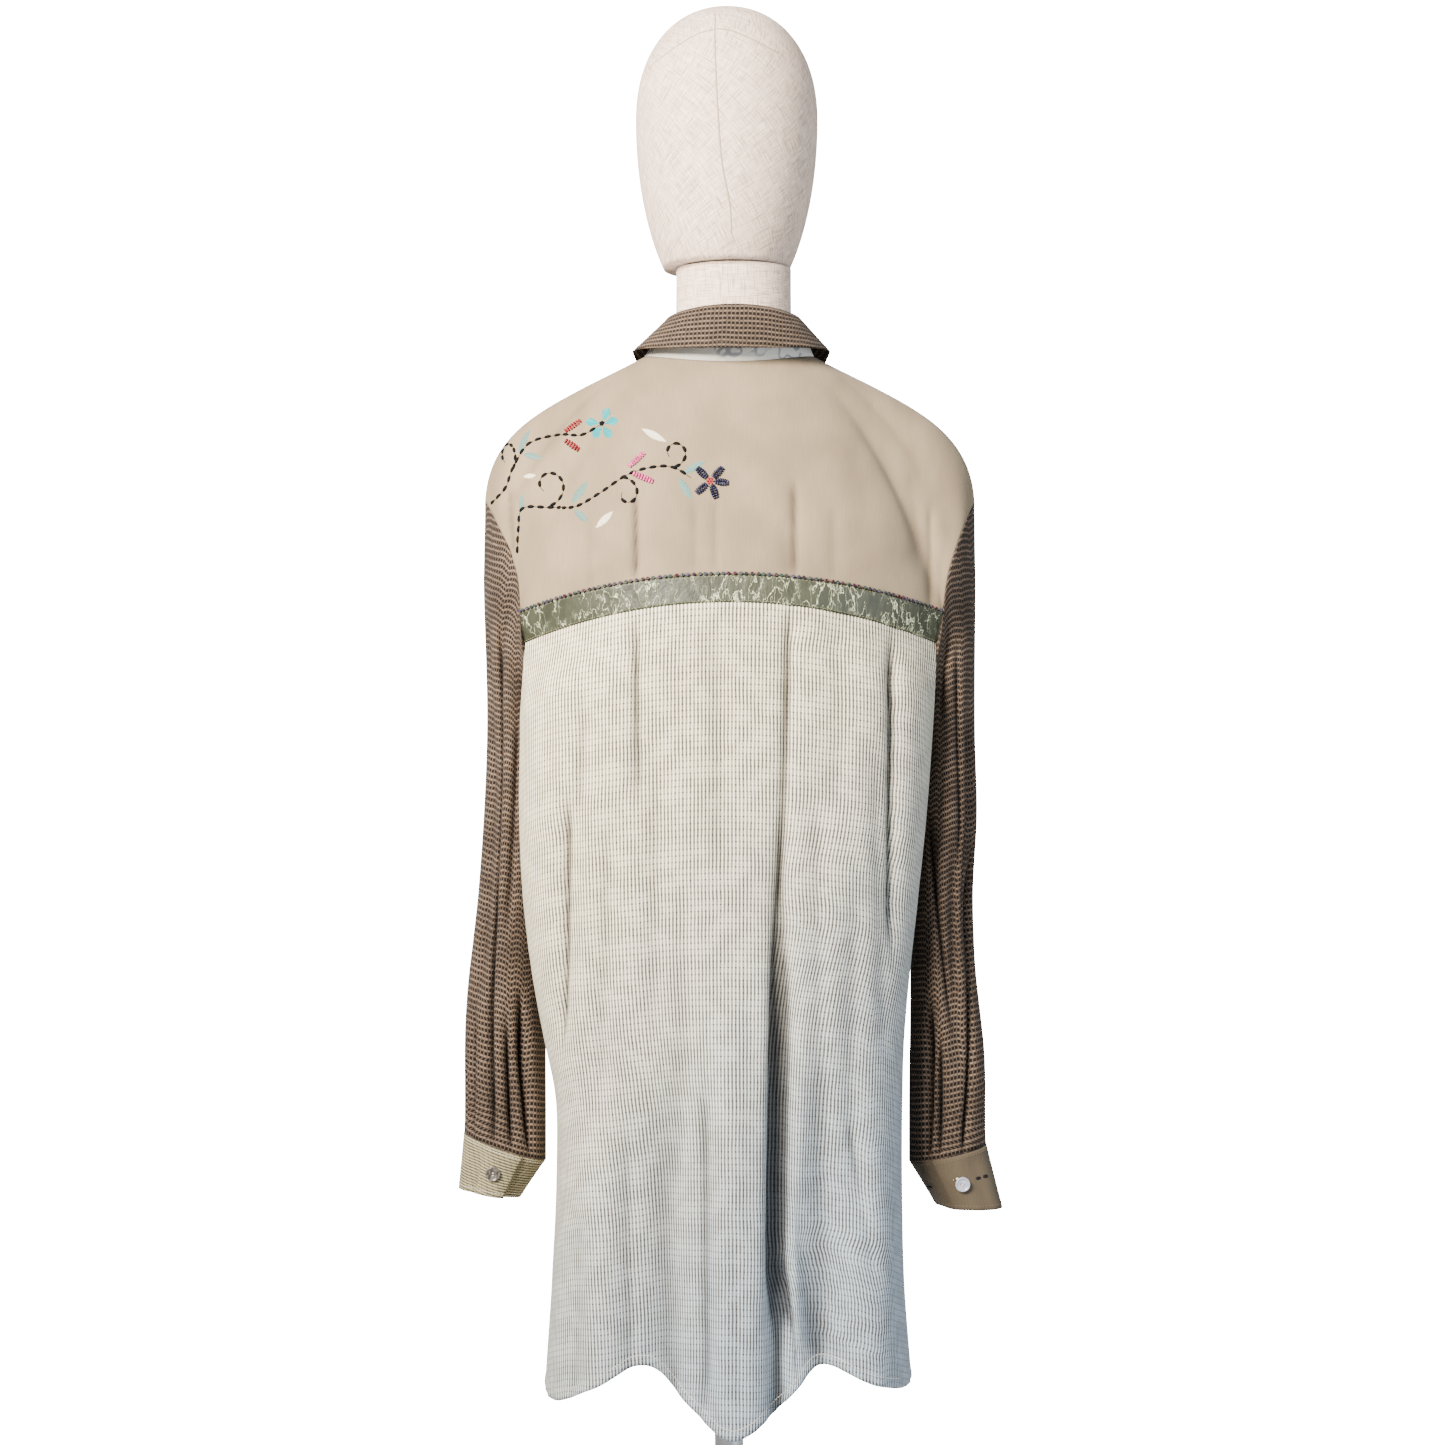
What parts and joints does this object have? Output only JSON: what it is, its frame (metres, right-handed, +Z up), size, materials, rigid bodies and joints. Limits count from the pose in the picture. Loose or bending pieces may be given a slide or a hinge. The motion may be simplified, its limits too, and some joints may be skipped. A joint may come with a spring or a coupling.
{
  "type": "embroidered blouse on a limbless dress form with an egg head and a round stand",
  "caption": "Long-sleeved patchwork blouse with an embroidered back yoke, buttoned on a linen dress form that stands on a pole and a round base.",
  "frame": {"origin": "on the floor, at the middle of the base's flat underside", "axes": "+Z up, the wearer faces -Y, and the wearer's left is +X"},
  "size_m": [0.4726, 0.34, 1.7],
  "materials": {
    "taupe_crepe": "matte crepe, fine uneven grain",
    "moss_ribbon": "moire ribbon with soft bright waves",
    "cream_check": "matte cream cloth with fine ribs and rows of dark dashes",
    "brown_check": "matte dark brown cloth with rows of tan dashes",
    "linen": "matte pale linen with dark slubs",
    "horn_button": "polished translucent brown-grey horn",
    "shell_button": "polished mother of pearl",
    "brushed_steel": "brushed steel"
  },
  "bodies": {
    "root": {"back_panel": "cream_check", "back_yoke": "taupe_crepe", "button_cuff_left": "horn_button", "button_cuff_right": "shell_button", "button_front_1": "shell_button", "button_front_2": "shell_button", "button_front_3": "shell_button", "button_front_4": "shell_button", "button_front_5": "shell_button", "button_front_6": "shell_button", "button_front_7": "shell_button", "collar_fall": "brown_check", "collar_stand": "cream_check", "cuff_left": "cream_check", "cuff_right": "taupe_crepe", "form_head": "linen", "form_torso": "linen", "front_left": "cream_check", "front_placket": "cream_check", "front_right": "cream_check", "sleeve_left": "brown_check", "sleeve_right": "brown_check", "stand_base": "brushed_steel", "stand_pole": "brushed_steel", "yoke_band": "moss_ribbon"}
  },
  "joints": []
}
